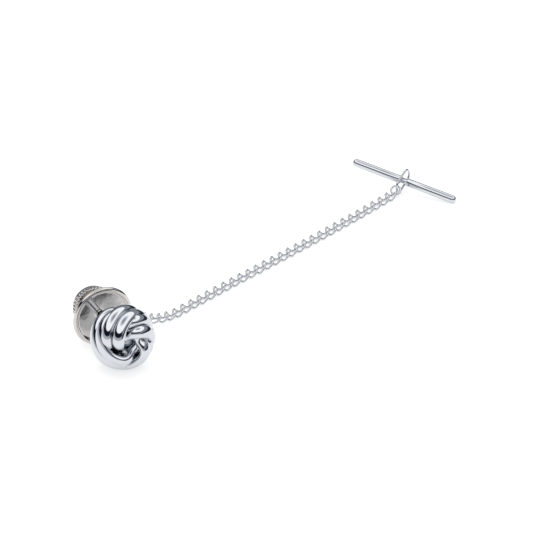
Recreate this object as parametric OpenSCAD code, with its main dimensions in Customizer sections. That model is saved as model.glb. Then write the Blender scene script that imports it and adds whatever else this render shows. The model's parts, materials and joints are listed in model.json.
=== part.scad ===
// Tie tack: a double-strand love knot on a pointed post, a ball-lock clutch that
// grips the post from behind, and a twisted curb chain ending in a toggle bar.
// Frame: the post runs along +Y and its root is the origin; the knot faces -Y,
// the clutch is on the +Y side, and +Z is up. The chain lies towards +X.

/* [Knot] */
// Radius of the knot's wires when they run on top, measured to their middle
knot_over_r = 4.93; // [4.4:0.01:5.95]
// How far a wire drops where it dives under the next band
knot_drop = 1.96; // [1.8:0.01:2.2]
// Half width of one flattened wire of the knot
knot_wire_half_w = 1.15; // [0.8:0.01:1.3]
// Half thickness of one flattened wire of the knot
knot_wire_half_t = 0.82; // [0.6:0.01:0.9]
// Angle from the knot's front pole to the middle of each ring of wire
knot_ring_tilt = 30; // [26:0.5:34]
// Angular radius of each ring of wire, seen from the middle of the knot
knot_ring_spread = 74; // [70:0.5:78]
// Turn of the whole pinwheel about the post
knot_turn = 18; // [0:1:90]
// Distance from the middle of the knot to the back of its plate
knot_depth = 3.2; // [3:0.05:4]
// Radius of the plate behind the knot
back_plate_r = 3.0; // [2.6:0.05:3.2]
// Thickness of the plate behind the knot
back_plate_t = 0.7; // [0.5:0.05:1]

/* [Post] */
// Radius of the post
post_r = 0.55; // [0.45:0.01:0.66]
// Length of the post from the back plate to its point
post_len = 8.5; // [7.5:0.1:9]
// Length of the post's plain shank, which the cloth rides on
shank_len = 4.4; // [4:0.1:4.6]
// Length of the post's tapered point
post_point = 1.1; // [0.8:0.1:1.6]

/* [Clutch] */
// Distance from the back plate to the clutch's rim, where the cloth goes
cloth_gap = 4.7; // [4.4:0.1:5]
// Radius of the clutch's round plate
clutch_plate_r = 5.5; // [5.2:0.05:6.6]
// Radius of the rolled bead round the plate's rim
clutch_bead_r = 0.45; // [0.35:0.01:0.5]
// Thickness of the plate's sheet
clutch_sheet = 0.35; // [0.25:0.01:0.45]
// Depth of the plate's dish
clutch_dish = 0.85; // [0.6:0.05:1]
// Outer radius of the clutch's barrel
barrel_r = 2.6; // [2.4:0.05:3]
// Wall of the barrel
barrel_wall = 0.3; // [0.2:0.01:0.4]
// Length of the barrel
barrel_len = 3.9; // [3.7:0.05:4.4]
// Radius of the cap over its milled teeth
cap_r = 3.7; // [3.6:0.05:4.2]
// Wall of the cap
cap_wall = 0.35; // [0.3:0.01:0.45]
// Number of teeth round the cap's milled edge
cap_teeth = 36; // [24:1:48]
// How far the cap pulls back to free the post
cap_pull = 0.9; // [0.5:0.05:0.95]
// Radius of the locking balls
ball_r = 0.4; // [0.36:0.01:0.42]
// Number of locking balls
ball_count = 3; // [3:1:3]

/* [Chain] */
// Distance from one link to the next
link_pitch = 2.14; // [1.8:0.01:2.6]
// Thickness of the chain's wire
link_wire = 0.4; // [0.32:0.01:0.42]
// Half width of a link, to the middle of its wire
link_half_w = 0.8; // [0.75:0.01:1]
// Twist of each end of a link out of its middle plane
link_twist = 45; // [40:1:50]
// Thickness of the wire of the ring that joins the clutch to the chain
jump_wire = 0.4; // [0.36:0.01:0.42]
// Radius of that ring, to the middle of its wire
jump_ring_r = 1.25; // [1.22:0.01:1.5]

/* [Toggle bar] */
// Length of the toggle bar, end to end
bar_len = 21; // [17:0.1:26]
// Radius of the toggle bar
bar_r = 0.75; // [0.65:0.01:0.78]
// Radius of the bar's turned waist
bar_waist_r = 0.55; // [0.45:0.01:0.6]
// Length of the waist
bar_waist_len = 1.3; // [1.2:0.05:1.6]
// Thickness of the wire of the oval ring round the bar
bar_ring_wire = 0.45; // [0.38:0.01:0.46]
// Half length of the oval ring, to the middle of its wire
bar_ring_half_l = 2.28; // [2.2:0.01:2.8]
// Half width of the oval ring, to the middle of its wire
bar_ring_half_w = 1.18; // [1.04:0.01:1.3]
// Thickness of the wire of the small ring at the chain's end
end_ring_wire = 0.36; // [0.3:0.01:0.38]
// Radius of the small ring at the chain's end, to the middle of its wire
end_ring_r = 0.85; // [0.84:0.01:1]

/* [Hidden] */
$fn = 48;
WIRE_NAMES = [for (n = [1:4]) for (side = ["inner", "outer"]) str("knot_band_", n, "_", side)];
BALL_NAMES = [for (n = [1:ball_count]) str("lock_ball_", n)];
LINK_COUNT = 33;
function two_digits(n) = n < 10 ? str("0", n) : str(n);
LINK_NAMES = [for (n = [1:LINK_COUNT]) str("chain_link_", two_digits(n))];

// Clearances
slide_gap = 0.05;     // between a sliding piece and its guide, on the radius
ball_gap = 0.02;      // between a ball and what it rolls on
link_slack = 0.16;    // free play from one link to the next
hole_land = 0.08;     // metal left between the chain's hole and the rim's bead

// Knot: each band follows a ring drawn on a ball, and a smooth step takes it from
// below to above as it passes the middle of the knot.
knot_mid_r = knot_over_r - knot_drop / 2;
knot_out_r = knot_over_r + knot_wire_half_t;
knot_core_r = knot_mid_r - knot_drop / 2 - knot_wire_half_t + 0.12;
knot_neck_r = 1.3;
knot_step = 4.5;      // steepness of the dive
knot_late = 17;       // degrees past the nearest point where a band is half way up
knot_rings = 56;
knot_sides = 10;
wire_offset = knot_wire_half_w / knot_over_r * 180 / PI;

function tanh(v) = (exp(v) - exp(-v)) / (exp(v) + exp(-v));
function wire_r(s) = knot_mid_r + knot_drop / 2 * tanh(knot_step * sin(s - knot_late));
// Point of a band's middle line at angle s round its ring, in the knot's own
// axes: across, up and out of the front.
function wire_dir(s, spread, centre) =
    let (axis = [sin(knot_ring_tilt) * cos(centre), sin(knot_ring_tilt) * sin(centre),
                 cos(knot_ring_tilt)],
         away = [cos(knot_ring_tilt) * cos(centre), cos(knot_ring_tilt) * sin(centre),
                 -sin(knot_ring_tilt)],
         side = [-sin(centre), cos(centre), 0])
    cos(spread) * axis + sin(spread) * (sin(s) * side - cos(s) * away);
function to_frame(p) = [p.x, -knot_depth - p.z, p.y];
function unit(v) = v / norm(v);
function wire_ring(s, spread, centre) =
    let (here = wire_dir(s, spread, centre),
         r = wire_r(s),
         ahead = unit(wire_r(s + 1) * wire_dir(s + 1, spread, centre)
                      - wire_r(s - 1) * wire_dir(s - 1, spread, centre)),
         across = unit(cross(ahead, here)),
         out = cross(across, ahead),
         half_w = knot_wire_half_w * r / knot_over_r * 0.985)
    [for (k = [0:knot_sides - 1])
        let (a = 360 * k / knot_sides)
        to_frame(r * here + knot_wire_half_t * cos(a) * out + half_w * sin(a) * across)];
function loop_faces(rings, sides) =
    [for (i = [0:rings - 1]) for (k = [0:sides - 1])
        let (j = (i + 1) % rings, m = (k + 1) % sides)
        [i * sides + k, j * sides + k, j * sides + m, i * sides + m]];

// Post: its root tapers into the back plate, and the balls bite in its far groove
root_taper = 0.1;
groove_half = 0.28;
groove_depth = 0.06;
catch_groove_at = post_len - post_point - 0.6;

// Clutch: distances from its rim, along the post
plate_back = clutch_dish + clutch_sheet;
rim_r = clutch_plate_r - clutch_bead_r;
plate_hole_r = post_r + 0.2;
function plate_top(r) = plate_back
    - (plate_back - clutch_bead_r - clutch_sheet / 2) * (r - plate_hole_r) / (rim_r - plate_hole_r);
barrel_end = plate_back + barrel_len;
barrel_in_r = barrel_r - barrel_wall;
washer_t = 0.3;
washer_end = barrel_end - slide_gap;
ball_centre_r = post_r + ball_r + ball_gap;
cage_in_r = post_r + slide_gap;
cage_wall = 0.5;
cage_out_r = cage_in_r + cage_wall;
ball_at = plate_back + 0.9;
cone_slope = 10;      // half angle of the taper the balls wedge into
cone_len = 1.7;
cone_start = plate_back + slide_gap;
function cone_r(at) = ball_centre_r + (ball_r + ball_gap) / cos(cone_slope)
    + (at - ball_at) * tan(cone_slope);
cone_out_r = barrel_in_r - slide_gap;
cage_start = cone_start + 0.1;
cage_flange_r = barrel_in_r - 2 * slide_gap;
cage_flange_t = 0.3;
cage_flange_at = cone_start + cone_len + slide_gap;
spring_wire = 0.24;
spring_r = 1.55;
spring_from = cage_flange_at + cage_flange_t;
spring_to = washer_end - washer_t;
spring_turns = 2.25;
cap_edge = plate_back + 2.7;      // front edge of the cap
cap_tooth_len = 0.9;
cap_shoulder = cap_edge + cap_tooth_len + 0.3;
cap_dome_h = 1.7;
cap_tooth_r = 0.17;
cap_in_r = cap_r - cap_tooth_r - cap_wall;
cap_hub_at = barrel_end + 0.15;
cap_hub_t = 0.45;
cage_end = cap_hub_at + cap_hub_t;
cap_end = cap_shoulder + cap_dome_h;

// Chain: it hangs from the rim, comes down to the surface and runs away from it
ground = -knot_out_r;
link_out_len = link_pitch + link_slack + 2 * link_wire;
link_end_x = link_out_len / 2 - link_wire / 2;
link_straight = link_end_x - link_half_w;
link_rise = link_half_w * sin(link_twist) + link_wire / 2;
chain_dips = [38, 30, 20, 15, 8];
chain_rolls = [40, 30, 20, 10];
jump_hole_r = jump_wire / 2 + 0.22;
jump_hole_at = clutch_plate_r - 2 * clutch_bead_r - jump_hole_r - hole_land;
jump_ring_at = jump_hole_at + jump_ring_r;
jump_y = cloth_gap + clutch_bead_r;
wire_play = link_end_x - link_pitch / 2;
chain_start_r = jump_ring_at + jump_ring_r - wire_play;
function heading(i) = i < 3 ? 23.6 - 3 * (3 - i) : 22 + 10 * pow((i - 3) / (LINK_COUNT - 4) - 0.4, 2);
function dip(i) = i < len(chain_dips) ? chain_dips[i] : 0;
function roll(i) = i < len(chain_rolls) ? chain_rolls[i] : 0;
function drop_from(i) = i < len(chain_dips) ? link_pitch * sin(dip(i)) + drop_from(i + 1) : 0;
chain_start_z = ground + link_rise + drop_from(0);
jump_angle = asin(chain_start_z / chain_start_r);
chain_start = [chain_start_r * cos(jump_angle), jump_y, chain_start_z];
function link_dir(i) = [cos(heading(i)) * cos(dip(i)), sin(heading(i)) * cos(dip(i)), -sin(dip(i))];
function pivot(i) = i == 0 ? chain_start : pivot(i - 1) + link_pitch * link_dir(i - 1);

// Toggle: the small ring stands on the last link's end, and the oval ring leans
// from it and goes round the bar's waist.
end_heading = heading(LINK_COUNT - 1);
chain_end = pivot(LINK_COUNT) + wire_play * link_dir(LINK_COUNT - 1);
end_ring_turn = -33;  // heading of the small ring's own across direction
end_ring_lean = 45;   // how far its axis points up
ring_across = [cos(end_ring_turn), sin(end_ring_turn), 0];
ring_upward = [-sin(end_ring_turn) * sin(end_ring_lean), cos(end_ring_turn) * sin(end_ring_lean),
               cos(end_ring_lean)];
ring_facing = cross(ring_across, ring_upward);
end_ring_at = chain_end + 0.03 * ring_across + 0.4 * ring_upward + 0.3 * ring_facing;
bar_ring_end = end_ring_at + 0.22 * ring_across + 0.12 * ring_upward - 0.11 * ring_facing;
bar_ring_heading = 32;
bar_ring_lean = 25;
bar_ring_dir = [cos(bar_ring_heading) * cos(bar_ring_lean), sin(bar_ring_heading) * cos(bar_ring_lean),
                sin(bar_ring_lean)];
bar_ring_at = bar_ring_end + bar_ring_half_l * bar_ring_dir;
bar_heading = -52.5;
bar_shift = 0.3;      // how far along its waist the bar has slid in the oval ring
bar_at = bar_ring_at + bar_shift * [cos(bar_heading), sin(bar_heading), 0];
bar_tilt = asin((bar_at.z - ground - bar_r) / (bar_len / 2 - bar_r));

// Turns a shape made along +Z so that it runs along the post, from the clutch's rim
module on_clutch() {
    translate([0, cloth_gap, 0]) rotate([-90, 0, 0]) children();
}

module knot_wire(band, side) {
    spread = knot_ring_spread + side * wire_offset;
    centre = knot_turn - 90 * (band - 1);
    points = [for (i = [0:knot_rings - 1]) each wire_ring(360 * i / knot_rings, spread, centre)];
    color("gainsboro") polyhedron(points, loop_faces(knot_rings, knot_sides), convexity = 6);
}

module knot_core() {
    color("gray") translate([0, -knot_depth, 0]) rotate([-90, 0, 0]) difference() {
        union() {
            sphere(r = knot_core_r);
            cylinder(r = knot_neck_r, h = knot_depth);
        }
        translate([0, 0, knot_depth - back_plate_t]) cylinder(r = knot_out_r, h = knot_depth);
    }
}

module back_plate() {
    color("silver") rotate([-90, 0, 0]) rotate_extrude() polygon([
        [post_r - root_taper, -back_plate_t], [back_plate_r, -back_plate_t],
        [back_plate_r, 0], [post_r, 0]
    ]);
}

module post() {
    color("silver") rotate([-90, 0, 0]) rotate_extrude() polygon([
        [0, -back_plate_t], [post_r - root_taper, -back_plate_t], [post_r, 0], [post_r, shank_len],
        [post_r - groove_depth, shank_len + groove_half], [post_r, shank_len + 2 * groove_half],
        [post_r, catch_groove_at - groove_half], [post_r - groove_depth, catch_groove_at],
        [post_r, catch_groove_at + groove_half], [post_r, post_len - post_point],
        [0.12, post_len], [0, post_len]
    ]);
}

module clutch_plate() {
    color("lightgray") on_clutch() difference() {
        rotate_extrude() union() {
            translate([rim_r, clutch_bead_r]) circle(r = clutch_bead_r);
            polygon([
                [plate_hole_r, clutch_dish], [rim_r, clutch_bead_r - clutch_sheet / 2],
                [rim_r, clutch_bead_r + clutch_sheet / 2], [plate_hole_r, plate_back]
            ]);
        }
        rotate([0, 0, -jump_angle]) translate([jump_hole_at, 0, -1]) cylinder(r = jump_hole_r, h = 4);
    }
}

module clutch_barrel() {
    color("tan") on_clutch() rotate_extrude() polygon([
        [barrel_in_r, plate_top(barrel_in_r)], [barrel_r, plate_top(barrel_r)],
        [barrel_r, barrel_end], [barrel_in_r, barrel_end]
    ]);
}

module clutch_cone() {
    color("darkgray") on_clutch() rotate_extrude() polygon([
        [cone_r(cone_start), cone_start], [cone_out_r, cone_start],
        [cone_out_r, cone_start + cone_len], [cone_r(cone_start + cone_len), cone_start + cone_len]
    ]);
}

module ball_cage() {
    color("goldenrod") on_clutch() difference() {
        union() {
            translate([0, 0, cage_start]) cylinder(r = cage_out_r, h = cage_end - cage_start);
            translate([0, 0, cage_flange_at]) cylinder(r = cage_flange_r, h = cage_flange_t);
        }
        translate([0, 0, cage_start - 1]) cylinder(r = cage_in_r, h = cage_end - cage_start + 2);
        for (n = [1:ball_count]) rotate([0, 0, 360 * n / ball_count]) translate([0, 0, ball_at])
            rotate([0, 90, 0]) cylinder(r = ball_r + slide_gap, h = cage_out_r + 1);
    }
}

// The spring's turns are separate rings a pitch apart, so that each is round
module lock_spring() {
    pitch = (spring_to - spring_from - spring_wire) / spring_turns;
    color("dimgray") on_clutch() for (n = [0:floor(spring_turns)])
        translate([0, 0, spring_from + spring_wire / 2 + n * pitch])
            rotate_extrude() translate([spring_r, 0]) circle(r = spring_wire / 2);
}

module barrel_washer() {
    color("silver") on_clutch() translate([0, 0, washer_end - washer_t]) difference() {
        cylinder(r = barrel_in_r, h = washer_t);
        translate([0, 0, -1]) cylinder(r = cage_out_r + slide_gap, h = washer_t + 2);
    }
}

module clutch_cap() {
    top_r = 0.9;
    shell = [
        [cap_r - cap_tooth_r, cap_edge], [cap_r - cap_tooth_r, cap_shoulder],
        for (a = [15:15:75]) [top_r + (cap_r - cap_tooth_r - top_r) * cos(a), cap_shoulder + cap_dome_h * sin(a)],
        [top_r, cap_end], [0, cap_end]
    ];
    hollow = [
        [0, cap_end - cap_wall], [top_r, cap_end - cap_wall],
        for (a = [75:-15:15]) [top_r + (cap_in_r - top_r) * cos(a), cap_shoulder + (cap_dome_h - cap_wall) * sin(a)],
        [cap_in_r, cap_shoulder], [cap_in_r, cap_edge]
    ];
    color("silver") on_clutch() {
        rotate_extrude() polygon(concat(shell, hollow));
        for (n = [1:cap_teeth]) rotate([0, 0, 360 * n / cap_teeth])
            translate([cap_r - cap_tooth_r, 0, cap_edge]) cylinder(r = cap_tooth_r, h = cap_tooth_len);
        translate([0, 0, cap_hub_at]) difference() {
            cylinder(r = cap_in_r + cap_wall / 2, h = cap_hub_t);
            translate([0, 0, -1]) cylinder(r = cage_out_r, h = cap_hub_t + 2);
        }
    }
}

module lock_ball(n) {
    color("white") on_clutch() rotate([0, 0, 360 * n / ball_count])
        translate([ball_centre_r, 0, ball_at]) sphere(r = ball_r);
}

module round_ring(r, wire) {
    rotate_extrude() translate([r, 0]) circle(r = wire / 2);
}

module jump_ring() {
    color("lightsteelblue") translate([0, jump_y, 0]) rotate([0, -jump_angle, 0])
        translate([jump_ring_at, 0, 0]) round_ring(jump_ring_r, jump_wire);
}

module rod_between(from, to, r) {
    way = to - from;
    translate(from) rotate([0, acos(way.z / norm(way)), atan2(way.y, way.x)])
        cylinder(r = r, h = norm(way));
}

// Half a round ring, bulging to +X, in the XY plane
module half_ring(r, wire) {
    rotate([0, 0, -90]) rotate_extrude(angle = 180) translate([r, 0]) circle(r = wire / 2);
}

module twisted_link() {
    y = link_half_w * cos(link_twist);
    z = link_half_w * sin(link_twist);
    translate([link_straight, 0, 0]) rotate([-link_twist, 0, 0]) half_ring(link_half_w, link_wire);
    translate([-link_straight, 0, 0]) rotate([-link_twist, 0, 180]) half_ring(link_half_w, link_wire);
    for (side = [-1, 1]) {
        rod_between([link_straight, side * y, -side * z], [-link_straight, side * y, side * z], link_wire / 2);
        for (end = [-1, 1]) translate([end * link_straight, side * y, -end * side * z])
            sphere(r = link_wire / 2 + 0.012);
    }
}

module chain_link(i) {
    color("lightsteelblue") translate((pivot(i) + pivot(i + 1)) / 2)
        rotate([0, dip(i), heading(i)]) rotate([roll(i), 0, 0]) twisted_link();
}

module end_ring() {
    color("lightsteelblue") translate(end_ring_at) rotate([0, 0, end_ring_turn])
        rotate([90 - end_ring_lean, 0, 0]) round_ring(end_ring_r, end_ring_wire);
}

module bar_ring() {
    straight = bar_ring_half_l - bar_ring_half_w;
    color("lightsteelblue") translate(bar_ring_at) rotate([0, -bar_ring_lean, bar_ring_heading])
        rotate([90, 0, 0]) {
            for (turn = [0, 180]) rotate([0, 0, turn]) translate([straight, 0, 0])
                half_ring(bar_ring_half_w, bar_ring_wire);
            for (side = [-1, 1]) translate([-straight, side * bar_ring_half_w, 0])
                rotate([0, 90, 0]) cylinder(r = bar_ring_wire / 2, h = 2 * straight);
        }
}

module toggle_bar() {
    half = bar_len / 2 - bar_r;
    color("lightsteelblue") translate(bar_at) rotate([0, bar_tilt, bar_heading]) rotate([0, 90, 0])
        difference() {
            union() {
                translate([0, 0, -half]) cylinder(r = bar_r, h = 2 * half);
                for (end = [-1, 1]) translate([0, 0, end * half]) sphere(r = bar_r);
            }
            rotate_extrude() translate([bar_waist_r, -bar_waist_len / 2]) square([1, bar_waist_len]);
        }
}

for (n = [1:4]) for (k = [0, 1])
    knot_wire(n, 2 * k - 1);
knot_core();
back_plate();
post();
clutch_plate();
clutch_barrel();
clutch_cone();
ball_cage();
lock_spring();
barrel_washer();
clutch_cap();
for (n = [1:ball_count]) lock_ball(n);
jump_ring();
for (i = [0:LINK_COUNT - 1]) chain_link(i);
end_ring();
bar_ring();
toggle_bar();
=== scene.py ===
import json

import bpy
import numpy as np
from mathutils import Matrix, Vector


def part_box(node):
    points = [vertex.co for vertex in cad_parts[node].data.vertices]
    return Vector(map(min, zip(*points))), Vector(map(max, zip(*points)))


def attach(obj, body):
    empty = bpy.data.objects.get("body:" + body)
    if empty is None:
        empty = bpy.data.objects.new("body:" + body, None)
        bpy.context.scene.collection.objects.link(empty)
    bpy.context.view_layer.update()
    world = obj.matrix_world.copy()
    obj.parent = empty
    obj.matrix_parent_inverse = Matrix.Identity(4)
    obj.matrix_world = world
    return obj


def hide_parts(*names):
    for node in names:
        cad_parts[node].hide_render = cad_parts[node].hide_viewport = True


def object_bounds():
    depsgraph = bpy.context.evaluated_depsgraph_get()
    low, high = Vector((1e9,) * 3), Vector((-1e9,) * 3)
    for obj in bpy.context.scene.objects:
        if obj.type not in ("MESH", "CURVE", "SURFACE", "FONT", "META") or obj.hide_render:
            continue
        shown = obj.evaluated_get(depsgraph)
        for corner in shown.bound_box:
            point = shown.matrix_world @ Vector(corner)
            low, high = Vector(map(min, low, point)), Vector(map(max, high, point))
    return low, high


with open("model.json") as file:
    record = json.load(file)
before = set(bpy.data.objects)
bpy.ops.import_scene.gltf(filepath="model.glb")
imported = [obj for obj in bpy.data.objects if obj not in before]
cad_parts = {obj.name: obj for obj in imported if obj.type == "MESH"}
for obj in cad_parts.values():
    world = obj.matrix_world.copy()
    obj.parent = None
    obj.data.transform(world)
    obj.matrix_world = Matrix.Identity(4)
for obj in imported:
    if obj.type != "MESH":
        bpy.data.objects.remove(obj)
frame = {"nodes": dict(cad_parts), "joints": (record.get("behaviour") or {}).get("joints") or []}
cad_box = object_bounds()
MM = 0.001

# ---------------------------------------------------------------------------
# Knot wires. Eight rings of flattened brass wire, two to a band, each band
# diving under the next as it passes the middle. Soldered to the core, then
# polished to a mirror and rhodium plated.
# ---------------------------------------------------------------------------
KNOT_CENTRE_Y = -3.2 * MM
KNOT_OVER_R = 4.93 * MM
KNOT_DROP = 1.96 * MM
WIRE_HALF_W = 1.15 * MM
WIRE_HALF_T = 0.82 * MM
RING_TILT = np.radians(30)
RING_SPREAD = np.radians(74)
KNOT_TURN = np.radians(18)
STEP_STEEPNESS = 4.5
STEP_LATE = np.radians(17)
WIRE_SEAM = 0.985  # share of the width left when the two wires are drawn apart
RHODIUM = "#d1d4d8"


def unit(v):
    """Each row of v divided by its length."""
    return v / np.linalg.norm(v, axis=-1, keepdims=True)


def surface(name, points, close_rows=True, close_columns=True, caps=(None, None)):
    """A smooth mesh through points[row, column]: a quad between neighbours,
    wrapping round where closed. caps are the points that close the first and
    last row, one each."""
    rows, columns = points.shape[:2]
    index = np.arange(rows * columns).reshape(rows, columns)
    below = np.roll(index, -1, 0) if close_rows else index[1:]
    here = index if close_rows else index[:-1]
    if close_columns:
        beside, across = np.roll(here, -1, 1), np.roll(below, -1, 1)
    else:
        here, below, beside, across = here[:, :-1], below[:, :-1], here[:, 1:], below[:, 1:]
    quads = np.stack([here, beside, across, below], -1).reshape(-1, 4)
    vertices, faces = points.reshape(-1, 3), quads.tolist()
    for cap, ring, flip in ((caps[0], index[0], True), (caps[1], index[-1], False)):
        if cap is not None:
            tip = len(vertices)
            vertices = np.vstack([vertices, cap])
            fan = np.stack([ring, np.roll(ring, -1), np.full(columns, tip)], 1)
            faces += (fan[:, ::-1] if flip else fan).tolist()
    mesh = bpy.data.meshes.new(name)
    mesh.from_pydata(vertices.tolist(), [], faces)
    mesh.polygons.foreach_set("use_smooth", np.ones(len(faces), bool))
    mesh.update()
    obj = bpy.data.objects.new(name, mesh)
    bpy.context.scene.collection.objects.link(obj)
    return obj


def sweep(name, path, out, half_out, half_side, sides=28):
    """An oval section carried round a closed path: at each point the section
    has half_out along out, made square to the path, and half_side along the
    third direction."""
    along = unit(np.roll(path, -1, 0) - np.roll(path, 1, 0))
    side = unit(np.cross(along, out))
    out = np.cross(side, along)
    angle = np.linspace(0, 2 * np.pi, sides, endpoint=False)
    half_out = np.broadcast_to(half_out, len(path))[:, None, None]
    half_side = np.broadcast_to(half_side, len(path))[:, None, None]
    ring = (
        half_out * np.cos(angle)[None, :, None] * out[:, None]
        + half_side * np.sin(angle)[None, :, None] * side[:, None]
    )
    return surface(name, path[:, None] + ring)


def knot_direction(s, spread, centre):
    """Point at angle s round a ring of the given spread on the unit ball: the
    cosine of the spread along the ring's axis, which leans from the front
    towards centre, plus its sine times a direction that turns with s."""
    lean = np.array([np.cos(centre), np.sin(centre), 0])
    front = np.array([0, 0, 1])
    axis = np.sin(RING_TILT) * lean + np.cos(RING_TILT) * front
    away = np.cos(RING_TILT) * lean - np.sin(RING_TILT) * front
    side = np.array([-np.sin(centre), np.cos(centre), 0])
    turn = np.sin(s)[:, None] * side - np.cos(s)[:, None] * away
    return np.cos(spread) * axis + np.sin(spread) * turn


def knot_wire(name, band, inner_or_outer):
    """One wire: its ring's direction times a radius that steps smoothly from
    under to over, as the hyperbolic tangent of the steepness times a sine."""
    middle = KNOT_OVER_R - KNOT_DROP / 2
    spread = RING_SPREAD + inner_or_outer * WIRE_HALF_W / KNOT_OVER_R
    centre = KNOT_TURN - band * np.pi / 2
    s = np.linspace(0, 2 * np.pi, 260, endpoint=False)
    radius = middle + KNOT_DROP / 2 * np.tanh(STEP_STEEPNESS * np.sin(s - STEP_LATE))
    ray = knot_direction(s, spread, centre)
    to_frame = lambda p: np.stack([p[:, 0], -p[:, 2], p[:, 1]], 1)
    path = to_frame(ray * radius[:, None]) + [0, KNOT_CENTRE_Y, 0]
    half_w = WIRE_HALF_W * radius / KNOT_OVER_R * WIRE_SEAM
    return sweep(name, path, to_frame(ray), WIRE_HALF_T, half_w)


def linear(colour):
    """sRGB hex to linear RGBA: c / 12.92 near black, else (c + 0.055) / 1.055
    to the power 2.4."""
    c = np.array([int(colour[i : i + 2], 16) for i in (1, 3, 5)]) / 255
    return (*np.where(c <= 0.04045, c / 12.92, ((c + 0.055) / 1.055) ** 2.4), 1)


def add(tree, kind, links=None, **settings):
    """A node of that kind, with its settings, and its inputs linked or set."""
    node = tree.nodes.new(kind)
    for key, value in settings.items():
        setattr(node, key, value)
    for key, value in (links or {}).items():
        if isinstance(value, bpy.types.NodeSocket):
            tree.links.new(value, node.inputs[key])
        else:
            node.inputs[key].default_value = value
    return node


def polished_plate(
    name, colour, roughness, wave_mm=1.6, wave=0.012, scratch_mm=0.12, scratch=0.10
):
    """Polished and plated metal: a mirror that buffing has left very slightly
    wavy, wave_mm from crest to crest, with hairline marks scratch_mm apart,
    and a trace duller in patches where hands have rubbed it. The marks are
    drawn coarser than a buffing wheel's, so that they show."""
    material = bpy.data.materials.new(name)
    material.use_nodes = True
    tree = material.node_tree
    shader = tree.nodes["Principled BSDF"]
    place = add(tree, "ShaderNodeTexCoord").outputs["Object"]
    waves = add(
        tree,
        "ShaderNodeTexNoise",
        {"Vector": place, "Scale": 1 / (wave_mm * MM), "Detail": 1.0},
    )
    long_marks = add(
        tree,
        "ShaderNodeMapping",
        {"Vector": place, "Rotation": (0.4, 0.9, 0.3), "Scale": (1.0, 0.06, 1.0)},
    )
    marks = add(
        tree,
        "ShaderNodeTexNoise",
        {
            "Vector": long_marks.outputs[0],
            "Scale": 1 / (scratch_mm * MM),
            "Detail": 3.0,
            "Roughness": 0.6,
        },
    )
    patch_size = 3.5 * MM
    rubbed = add(
        tree, "ShaderNodeTexNoise", {"Vector": place, "Scale": 1 / patch_size, "Detail": 2.0}
    )
    dull = add(
        tree,
        "ShaderNodeMapRange",
        {
            "Value": rubbed.outputs[0],
            "From Min": 0.35,
            "From Max": 0.75,
            "To Min": roughness,
            "To Max": roughness * 1.8,
        },
    )
    clean = linear(colour)
    tint = add(tree, "ShaderNodeMix", {0: rubbed.outputs[0], 6: clean}, data_type="RGBA")
    tint.inputs[7].default_value = tuple(np.array(clean) * [0.93, 0.93, 0.94, 1])
    wave_height, mark_depth = 1 * MM, 0.004 * MM
    soft = add(
        tree,
        "ShaderNodeBump",
        {"Strength": wave, "Distance": wave_height, "Height": waves.outputs[0]},
    )
    fine = add(
        tree,
        "ShaderNodeBump",
        {
            "Strength": scratch,
            "Distance": mark_depth,
            "Height": marks.outputs[0],
            "Normal": soft.outputs[0],
        },
    )
    shader.inputs["Metallic"].default_value = 1.0
    tree.links.new(tint.outputs[2], shader.inputs["Base Color"])
    tree.links.new(dull.outputs[0], shader.inputs["Roughness"])
    tree.links.new(fine.outputs[0], shader.inputs["Normal"])
    return material


def finish_piece(obj, material, body, slot, *nodes):
    """Gives a piece its material and its body, and hides the CAD nodes that it
    stands for. The slot is not used."""
    obj.data.materials.clear()
    obj.data.materials.append(material)
    if nodes:
        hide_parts(*nodes)
    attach(obj, body)
    return obj


def dress(node, material):
    """A CAD node keeps its mesh and takes a material."""
    obj = frame["nodes"][node]
    obj.data.materials.clear()
    obj.data.materials.append(material)
    return obj


# Rhodium over buffed brass: a cold white mirror with sharp, dark-edged streaks.
rhodium = polished_plate("rhodium_plate_mirror", RHODIUM, 0.035)
for band in range(4):
    for side, sign in (("inner", -1), ("outer", 1)):
        node = f"knot_band_{band + 1}_{side}"
        finish_piece(knot_wire(node + "_wire", band, sign), rhodium, "head", "knot_plate", node)

# ---------------------------------------------------------------------------
# Core, back plate and post. A turned hub and a disc that the wires are
# soldered to; the plating reaches inside, but the buffing wheel doesn't.
# ---------------------------------------------------------------------------
# Plated as turned and satin, with its base colour darkened to a grey as painted shade, so that the
# gaps of the knot look deep.
satin_with_painted_shade = polished_plate("rhodium_plate_satin_painted_shade", "#9fa3ad", 0.22, wave_mm=0.5, wave=0.03)
dress("knot_core", satin_with_painted_shade)
# Lapped flat, then plated: bright, but its reflections have soft edges.
dress("back_plate", polished_plate("rhodium_plate_lapped", "#d4d7df", 0.12))
# Drawn through a die: fine marks that blur the highlight along the wire.
drawn_steel = polished_plate(
    "drawn_steel_plated", "#cfd0d4", 0.12, scratch_mm=0.06, scratch=0.2
)
dress("post", drawn_steel)

# ---------------------------------------------------------------------------
# Clutch plate. Sheet brass spun to a shallow dish with its rim rolled over,
# nickel plated: a little warmer than the knot's rhodium.
# ---------------------------------------------------------------------------
NICKEL = "#cdcac6"
rim_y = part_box("clutch_plate")[0][1]
plate_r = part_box("clutch_plate")[1][0]
BEAD_R = 0.45 * MM
SHEET = 0.35 * MM
DISH = 0.85 * MM
HOLLOW = 0.10  # how far the dish bows, as a share of its fall
HOLE_R = 0.75 * MM
CHAIN_HOLE_R = 0.42 * MM


def arc(centre_r, centre_y, radius, start, stop, count=14):
    """Points (r, y) on a circle of the profile plane; degrees from the outward
    direction towards +Y."""
    a = np.radians(np.linspace(start, stop, count))
    return np.stack([centre_r + radius * np.cos(a), centre_y + radius * np.sin(a)], 1)


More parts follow.
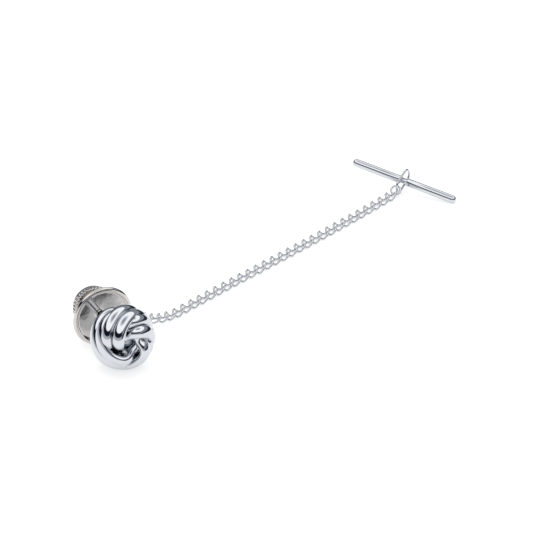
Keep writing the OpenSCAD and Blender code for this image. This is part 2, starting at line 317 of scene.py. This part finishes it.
def spun(name, profile, turns=192, closed=True, caps=(None, None)):
    """A profile of (radius, y) points turned round the post's axis: the radius
    times the cosine and sine of the angle, at the same y all the way round."""
    a = np.linspace(0, 2 * np.pi, turns, endpoint=False)
    r = profile[:, 0][:, None]
    y = np.broadcast_to(profile[:, 1][:, None], (len(profile), turns))
    points = np.stack([r * np.cos(a), y, r * np.sin(a)], -1)
    return surface(name, points, close_rows=closed, caps=caps)


def curved(start, stop, count=40):
    """(r, y) points from start to stop: r goes evenly, y falls behind it by
    half a sine wave, so that the cone is hollow towards its rim."""
    t = np.linspace(0, 1, count)
    fall = t - HOLLOW * np.sin(np.pi * t)
    (start_r, start_y), (stop_r, stop_y) = start, stop
    return np.stack([start_r + (stop_r - start_r) * t, start_y + (stop_y - start_y) * fall], 1)


bead_at = plate_r - BEAD_R
sheet_at_rim = BEAD_R - SHEET / 2
face = lambda back: curved(
    (HOLE_R, rim_y + DISH + back), (bead_at, rim_y + sheet_at_rim + back)
)
# Down the front, round the rolled rim, up the back and round the hole's lip.
plate_profile = np.concatenate(
    [
        face(0)[3:-5],
        arc(bead_at, rim_y + BEAD_R, BEAD_R, 215, 490, 40),
        face(SHEET)[3:-5][::-1],
        arc(HOLE_R + SHEET / 2, rim_y + DISH + SHEET / 2, SHEET / 2, 100, 260, 9),
    ]
)
# Bright nickel on spun sheet: a mirror a shade warmer and softer than rhodium.
nickel = polished_plate("nickel_plate_spun", NICKEL, 0.06)
clutch_plate = spun("clutch_plate_spun", plate_profile)

# The chain's hole is punched where the jump ring swings.
joints = {joint["name"]: joint for joint in frame["joints"]}
hole_x, _, hole_z = joints["jump_ring_swing"]["pos_m"]
punch_low, punch_high = rim_y - 1 * MM, rim_y + 2 * MM
punch = spun(
    "chain_hole_punch",
    np.array([[CHAIN_HOLE_R, punch_low], [CHAIN_HOLE_R, punch_high]]),
    turns=48,
    closed=False,
    caps=([0, punch_low, 0], [0, punch_high, 0]),
)
punch.data.transform(Matrix.Translation((hole_x, 0, hole_z)))
punched = clutch_plate.modifiers.new("chain_hole", "BOOLEAN")
punched.operation, punched.solver, punched.object = "DIFFERENCE", "EXACT", punch
depsgraph = bpy.context.evaluated_depsgraph_get()
with_hole = bpy.data.meshes.new_from_object(clutch_plate.evaluated_get(depsgraph))
clutch_plate.modifiers.clear()
clutch_plate.data = with_hole
bpy.data.objects.remove(punch)
finish_piece(clutch_plate, nickel, "clutch_shell", "clutch_plate", "clutch_plate")

# ---------------------------------------------------------------------------
# Barrel and cap. The barrel is drawn brass tube; the cap is spun with a smooth
# domed end and a band of milled teeth to hold it by. Both are nickel plated.
# ---------------------------------------------------------------------------
barrel_low, barrel_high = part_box("clutch_barrel")
barrel_r = barrel_high[0]
BARREL_WALL = 0.3 * MM
EDGE = 0.07 * MM
barrel_profile = np.concatenate(
    [
        arc(barrel_r - BARREL_WALL + EDGE, barrel_low[1] + EDGE, EDGE, 180, 270, 5),
        arc(barrel_r - EDGE, barrel_low[1] + EDGE, EDGE, 270, 360, 5),
        arc(barrel_r - EDGE, barrel_high[1] - EDGE, EDGE, 0, 90, 5),
        arc(barrel_r - BARREL_WALL + EDGE, barrel_high[1] - EDGE, EDGE, 90, 180, 5),
    ]
)
# Thin nickel on drawn tube: the brass below warms it, and the die's marks blur it.
warm_nickel = polished_plate(
    "nickel_plate_drawn", "#cfc3ae", 0.11, scratch_mm=0.08, scratch=0.2
)
barrel = spun("clutch_barrel_drawn", barrel_profile)
finish_piece(barrel, warm_nickel, "clutch_shell", "clutch_barrel", "clutch_barrel")

cap_low, cap_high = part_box("clutch_cap")
cap_r = cap_high[0]
TOOTH_DEPTH = 0.22 * MM
TEETH = 36
TOOTH_LENGTH = 0.9 * MM
CAP_WALL = 0.35 * MM
CROWN_R = 0.9 * MM
SHOULDER = 1.2 * MM
TOOTH_ROWS = 15
POLE_R = 0.05 * MM


def milled_cap(name):
    """The cap's profile turned round the post, with rounded teeth on its front
    band: the radius grows by the tooth depth times the square root of a raised
    cosine of the angle, and a quarter ellipse makes the dome."""
    base_r = cap_r - TOOTH_DEPTH
    front, shoulder = cap_low[1], cap_low[1] + SHOULDER
    dome = cap_high[1] - shoulder
    a = np.radians(np.linspace(0, 90, 30))
    outer_dome = np.stack([CROWN_R + (base_r - CROWN_R) * np.cos(a), shoulder + dome * np.sin(a)], 1)
    crown_r = np.linspace(CROWN_R, POLE_R, 8)[1:]
    crown = np.stack([crown_r, np.full(len(crown_r), cap_high[1])], 1)
    band = np.linspace(0, 1, TOOTH_ROWS)
    band_y = front + 0.04 * MM + band * (TOOTH_LENGTH + 0.1 * MM)
    tooth = np.stack([np.full(TOOTH_ROWS, base_r), band_y], 1)
    inner_r = base_r - CAP_WALL
    inside = np.array([[inner_r, shoulder], [inner_r, front + EDGE], [inner_r + EDGE, front]])
    hollow = np.stack(
        [
            CROWN_R + (inner_r - CROWN_R) * np.cos(a[::-3]),
            shoulder + (dome - CAP_WALL) * np.sin(a[::-3]),
        ],
        1,
    )
    hollow = np.concatenate([[[POLE_R, cap_high[1] - CAP_WALL]], hollow])
    profile = np.concatenate([hollow, inside, tooth, outer_dome, crown])
    turns = TEETH * 16
    angle = np.linspace(0, 2 * np.pi, turns, endpoint=False)
    first = len(hollow) + len(inside)
    # How tall the tooth stands along the band: up fast, level, then a short run-out.
    height = np.zeros(len(profile))
    height[first : first + TOOTH_ROWS] = np.clip(
        np.minimum(band / 0.12, (1 - band) / 0.14), 0, 1
    )
    ridge = np.sqrt(np.clip(0.5 + 0.5 * np.cos(TEETH * angle), 0, 1))
    r = profile[:, 0][:, None] + TOOTH_DEPTH * height[:, None] * ridge[None]
    y = np.broadcast_to(profile[:, 1][:, None], r.shape)
    points = np.stack([r * np.cos(angle), y, r * np.sin(angle)], -1)
    tips = ([0, cap_high[1] - CAP_WALL, 0], [0, cap_high[1], 0])
    return surface(name, points, close_rows=False, caps=tips)


# Nickel over milled brass: each tooth catches its own thin line of light.
cap_nickel = polished_plate("nickel_plate_milled", NICKEL, 0.07)
finish_piece(milled_cap("clutch_cap_milled"), cap_nickel, "clutch_plunger", "clutch_cap", "clutch_cap")

# ---------------------------------------------------------------------------
# Inside the clutch: a hard steel race, a brass tube with three balls in it,
# a spring that pushes the balls up the taper, and a washer that shuts it in.
# ---------------------------------------------------------------------------
# Bare turned steel: grey, with tool marks that spread the highlight.
turned_steel = polished_plate(
    "turned_steel_bare", "#9d9fa3", 0.25, scratch_mm=0.05, scratch=0.4
)
dress("clutch_cone", turned_steel)
dress("barrel_washer", turned_steel)
# Bare turned brass: yellow, with the same spread highlight.
turned_brass = polished_plate(
    "turned_brass_bare", "#c9a661", 0.22, scratch_mm=0.05, scratch=0.4
)
dress("ball_cage", turned_brass)
# Oil-hardened spring wire: dark grey and dull.
dress("lock_spring", polished_plate("spring_wire_oiled", "#7a7b80", 0.3))
# Lapped balls: a clean, hard mirror.
ball_steel = polished_plate("ball_steel_lapped", "#d6d8dc", 0.05)
for n in (1, 2, 3):
    dress(f"lock_ball_{n}", ball_steel)

# ---------------------------------------------------------------------------
# Chain. Curb links of round wire: each was bent to an oval, closed, and then
# the whole chain was twisted so that the links lie flat. A round jump ring
# holds it to the clutch.
# ---------------------------------------------------------------------------
LINK_COUNT = 33
LINK_WIRE_R = 0.2 * MM
LINK_HALF_W = 0.8 * MM
LINK_PITCH = 2.14 * MM
LINK_SLACK = 0.16 * MM
LINK_TWIST = np.radians(45)
LINK_ROLLS = np.radians([40, 30, 20, 10])
link_nodes = [f"chain_link_{n:02d}" for n in range(1, LINK_COUNT + 1)]
link_straight = (LINK_PITCH + LINK_SLACK) / 2 + LINK_WIRE_R - LINK_HALF_W


def oval_path(straight, half_w, count=96):
    """Points evenly spaced round an oval in the XY plane: two half circles of
    radius half_w whose middles lie at -straight and +straight on X, joined by
    straight lines. Also each point's direction outwards."""
    arc_length, line = np.pi * half_w, 2 * straight
    s = np.linspace(0, 2 * (arc_length + line), count, endpoint=False)
    right, top, left = arc_length, arc_length + line, 2 * arc_length + line
    a = np.where(s < right, s / half_w - np.pi / 2, np.where(s < top, np.pi / 2, 0))
    a = np.where((s >= top) & (s < left), (s - top) / half_w + np.pi / 2, a)
    a = np.where(s >= left, 3 * np.pi / 2, a)
    x = np.where(s < right, straight, np.where(s < top, straight - (s - right), -straight))
    x = np.where(s >= left, -straight + (s - left), x)
    out = np.stack([np.cos(a), np.sin(a), 0 * a], 1)
    return np.stack([x, 0 * x, 0 * x], 1) + half_w * out, out


def curb_link(name, start, stop, roll):
    """An oval link twisted about its long axis: each point is turned by the
    twist times the sine of how far along the link it is, one way at one end
    and the other way at the other, and then by the link's own roll."""
    path, out = oval_path(link_straight, LINK_HALF_W)
    reach = link_straight + 0.45 * LINK_HALF_W
    share = np.clip(path[:, 0] / reach, -1, 1)
    turn = -LINK_TWIST * np.sin(share * np.pi / 2) + roll
    c, s = np.cos(turn), np.sin(turn)
    along = unit(stop - start)
    lateral = unit(np.cross([0, 0, 1], along))
    axes = np.stack([along, lateral, np.cross(along, lateral)])
    placed = lambda p: (
        np.stack([p[:, 0], c * p[:, 1] - s * p[:, 2], s * p[:, 1] + c * p[:, 2]], 1) @ axes
    )
    centreline = (start + stop) / 2 + placed(path)
    return sweep(name, centreline, placed(out), LINK_WIRE_R, LINK_WIRE_R, 16)


# Each link hangs between its own pivot and the next. The last one's far pivot
# is as far beyond the link's middle as its own is before it.
pivots = np.array([joints[node + "_bend"]["pos_m"] for node in link_nodes] + [[0, 0, 0]])
last_low, last_high = np.array(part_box("chain_link_33"))
pivots[-1] = last_low + last_high - pivots[-2]
# Barrel-polished and plated wire: bright, but with softer edges than the knot.
chain_plate = polished_plate(
    "rhodium_plate_chain", "#cdcfd3", 0.07, wave_mm=0.7, scratch_mm=0.06
)
for n, node in enumerate(link_nodes):
    roll = LINK_ROLLS[n] if n < len(LINK_ROLLS) else 0.0
    link = curb_link(node + "_wire", pivots[n], pivots[n + 1], roll)
    finish_piece(link, chain_plate, node, "chain_plate", node)


# ---------------------------------------------------------------------------
# Rings and toggle bar. Butted rings of round wire join the chain at each end;
# the long one goes round the waist turned in the middle of the solid bar.
# ---------------------------------------------------------------------------
JUMP_RING_R, JUMP_WIRE_R = 1.25 * MM, 0.2 * MM
END_RING_R, END_WIRE_R = 0.85 * MM, 0.18 * MM
END_RING_TURN, END_RING_LEAN = np.radians(-33), np.radians(45)
BAR_RING_STRAIGHT, BAR_RING_HALF_W, BAR_WIRE_R = 1.1 * MM, 1.18 * MM, 0.225 * MM
BAR_RING_TURN, BAR_RING_LEAN = np.radians(32), np.radians(25)
BAR_R = 0.75 * MM
WAIST_R = 0.55 * MM
WAIST_LENGTH = 1.3 * MM


def middle(node):
    """The middle of a CAD node's box."""
    return np.mean(np.array(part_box(node)), axis=0)


def wire_ring(node, straight, half_w, wire_r, along, across):
    """A round wire swept round an oval in the plane of along and across, its
    middle at the CAD node's."""
    path, out = oval_path(straight, half_w)
    axes = np.stack([along, across, np.cross(along, across)])
    ring = sweep(node + "_wire", middle(node) + path @ axes, out @ axes, wire_r, wire_r, 20)
    return finish_piece(ring, chain_plate, node, "chain_plate", node)


jump_out = unit(middle("jump_ring") * [1, 0, 1])
wire_ring("jump_ring", 0, JUMP_RING_R, JUMP_WIRE_R, jump_out, [0, 1, 0])
up = np.array([0, 0, 1])
end_across = np.array([np.cos(END_RING_TURN), np.sin(END_RING_TURN), 0])
end_level = np.cross(up, end_across)
end_up = np.cos(END_RING_LEAN) * end_level + np.sin(END_RING_LEAN) * up
wire_ring("end_ring", 0, END_RING_R, END_WIRE_R, end_across, end_up)
ring_level = np.array([np.cos(BAR_RING_TURN), np.sin(BAR_RING_TURN), 0])
ring_along = np.cos(BAR_RING_LEAN) * ring_level + np.sin(BAR_RING_LEAN) * up
ring_up = np.cos(BAR_RING_LEAN) * up - np.sin(BAR_RING_LEAN) * ring_level
wire_ring("bar_ring", BAR_RING_STRAIGHT, BAR_RING_HALF_W, BAR_WIRE_R, ring_along, ring_up)


def turned_bar(node):
    """The bar's profile (place along it, radius) turned round its own axis:
    quarter circles make the round ends, and the waist in the middle has
    softened corners."""
    low, high = np.array(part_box(node))
    span = (high - low) / 2 - BAR_R
    half, along = np.linalg.norm(span), unit(span * [1, -1, -1])
    a = np.radians(np.linspace(2, 90, 16))
    end = np.stack([-half - BAR_R * np.cos(a), BAR_R * np.sin(a)], 1)
    neck = WAIST_LENGTH / 2
    corner = np.array(
        [
            [-half / 2, BAR_R],
            [-neck - 0.05 * MM, BAR_R],
            [-neck, BAR_R - 0.04 * MM],
            [-neck, WAIST_R + 0.03 * MM],
            [-neck + 0.04 * MM, WAIST_R],
        ]
    )
    left = np.concatenate([end, corner])
    profile = np.concatenate([left, left[::-1] * [-1, 1]])
    around = np.linspace(0, 2 * np.pi, 64, endpoint=False)
    side = unit(np.cross(along, [0, 0, 1]))
    rim = np.cos(around)[:, None] * side + np.sin(around)[:, None] * np.cross(side, along)
    place, radius = profile.T[:, :, None, None]
    points = middle(node) + place * along + radius * rim
    tips = [middle(node) + sign * (half + BAR_R) * along for sign in (-1, 1)]
    return surface(node + "_turned", points, close_rows=False, caps=tips)


# Turned, buffed lengthways and plated: long, almost straight streaks of light.
bar_plate = polished_plate("rhodium_plate_bar", RHODIUM, 0.05, wave_mm=4.0, wave=0.006)
finish_piece(turned_bar("toggle_bar"), bar_plate, "toggle_bar", "bar_plate", "toggle_bar")

# ---------------------------------------------------------------------------
# Studio: a white card for a floor, a broad light overhead, and a camera to the
# left of the knot that looks down on it from well back. The sky is what the
# plating mirrors.
# ---------------------------------------------------------------------------
FLOOR_HALF = 3.0
CAMERA_DISTANCE = 950 * MM
LOOK_RIGHT, LOOK_UP = 28.34 * MM, 8.54 * MM

ground = cad_box[0][2]
floor = surface(
    "floor",
    np.array([[[x, y, ground] for x in (-FLOOR_HALF, FLOOR_HALF)] for y in (-FLOOR_HALF, FLOOR_HALF)]),
    close_rows=False,
    close_columns=False,
)
# Lit card: even and white, with hardly a shadow.
paper = bpy.data.materials.new("white_card")
paper.use_nodes = True
shader = paper.node_tree.nodes["Principled BSDF"]
shader.inputs["Base Color"].default_value = linear("#c0c0c0")
shader.inputs["Roughness"].default_value = 0.9
shader.inputs["Emission Color"].default_value = linear("#ffffff")
shader.inputs["Emission Strength"].default_value = 0.64
floor.data.materials.append(paper)

camera_azimuth, camera_elevation = np.radians(-26), np.radians(28.5)
to_right = Vector((np.cos(camera_azimuth), np.sin(camera_azimuth), 0))
to_camera = Vector(
    (
        np.sin(camera_azimuth) * np.cos(camera_elevation),
        -np.cos(camera_azimuth) * np.cos(camera_elevation),
        np.sin(camera_elevation),
    )
)
to_top = to_camera.cross(to_right)
camera = bpy.data.objects.new("camera", bpy.data.cameras.new("camera"))
bpy.context.scene.collection.objects.link(camera)
rim_centre = Vector((0, rim_y, 0))
camera.location = (
    rim_centre + CAMERA_DISTANCE * to_camera + LOOK_RIGHT * to_right + LOOK_UP * to_top
)
camera.rotation_euler = to_camera.to_track_quat("Z", "Y").to_euler()
camera.data.sensor_width = 36
camera.data.lens = 370
camera.data.clip_start = 0.01
bpy.context.scene.camera = camera

world = bpy.data.worlds.new("studio")
bpy.context.scene.world = world
world.use_nodes = True
tree = world.node_tree
ray = add(tree, "ShaderNodeTexCoord").outputs["Generated"]
height = add(tree, "ShaderNodeSeparateXYZ", {"Vector": ray}).outputs["Z"]


def sky_ramp(*stops_and_colours):
    """The sky's colour from the horizon, 0, to straight up, 1: straight lines
    between the stops."""
    ramp = add(tree, "ShaderNodeValToRGB", {"Fac": height}).color_ramp
    for at, colour in stops_and_colours[1:-1]:
        ramp.elements.new(at)
    for stop, (at, colour) in zip(ramp.elements, stops_and_colours):
        stop.position, stop.color = at, linear(colour)
    return ramp.id_data.nodes[-1].outputs["Color"]


# One side has a dark room behind the light; the other has grey card.
room_side = sky_ramp(
    (0.0, "#bcbec1"),
    (0.28, "#a3a6ab"),
    (0.32, "#171c2a"),
    (0.60, "#10151f"),
    (0.65, "#ffffff"),
    (0.90, "#ffffff"),
    (1.0, "#8d9096"),
)
card_side = sky_ramp(
    (0.0, "#1a1d24"),
    (0.26, "#343842"),
    (0.34, "#8e9197"),
    (0.58, "#7b7f86"),
    (0.64, "#ffffff"),
    (0.88, "#ffffff"),
    (1.0, "#8d9096"),
)
window_wall = Vector((-0.93, -0.36, 0)).normalized()
towards_room = add(
    tree, "ShaderNodeVectorMath", {0: ray, 1: window_wall}, operation="DOT_PRODUCT"
)
share = add(
    tree,
    "ShaderNodeMapRange",
    {"Value": towards_room.outputs["Value"], "From Min": 0.1, "From Max": 0.3},
)
sky = add(
    tree, "ShaderNodeMix", {0: share.outputs[0], 6: card_side, 7: room_side}, data_type="RGBA"
)
background = tree.nodes["Background"]
tree.links.new(sky.outputs[2], background.inputs["Color"])
background.inputs["Strength"].default_value = 1.4


def soft_light(name, place, target, size, watts):
    """A square area light at place, facing target."""
    lamp = bpy.data.lights.new(name, "AREA")
    lamp.shape, lamp.size, lamp.energy = "SQUARE", size, watts
    obj = bpy.data.objects.new(name, lamp)
    bpy.context.scene.collection.objects.link(obj)
    obj.location = place
    obj.rotation_euler = (Vector(place) - Vector(target)).to_track_quat("Z", "Y").to_euler()
    obj.visible_glossy = False


soft_light("overhead", (0.0, 0.3, 1.6), (0.03, 0.0, 0), 1.6, 8)
bpy.context.scene.view_settings.view_transform = "Standard"
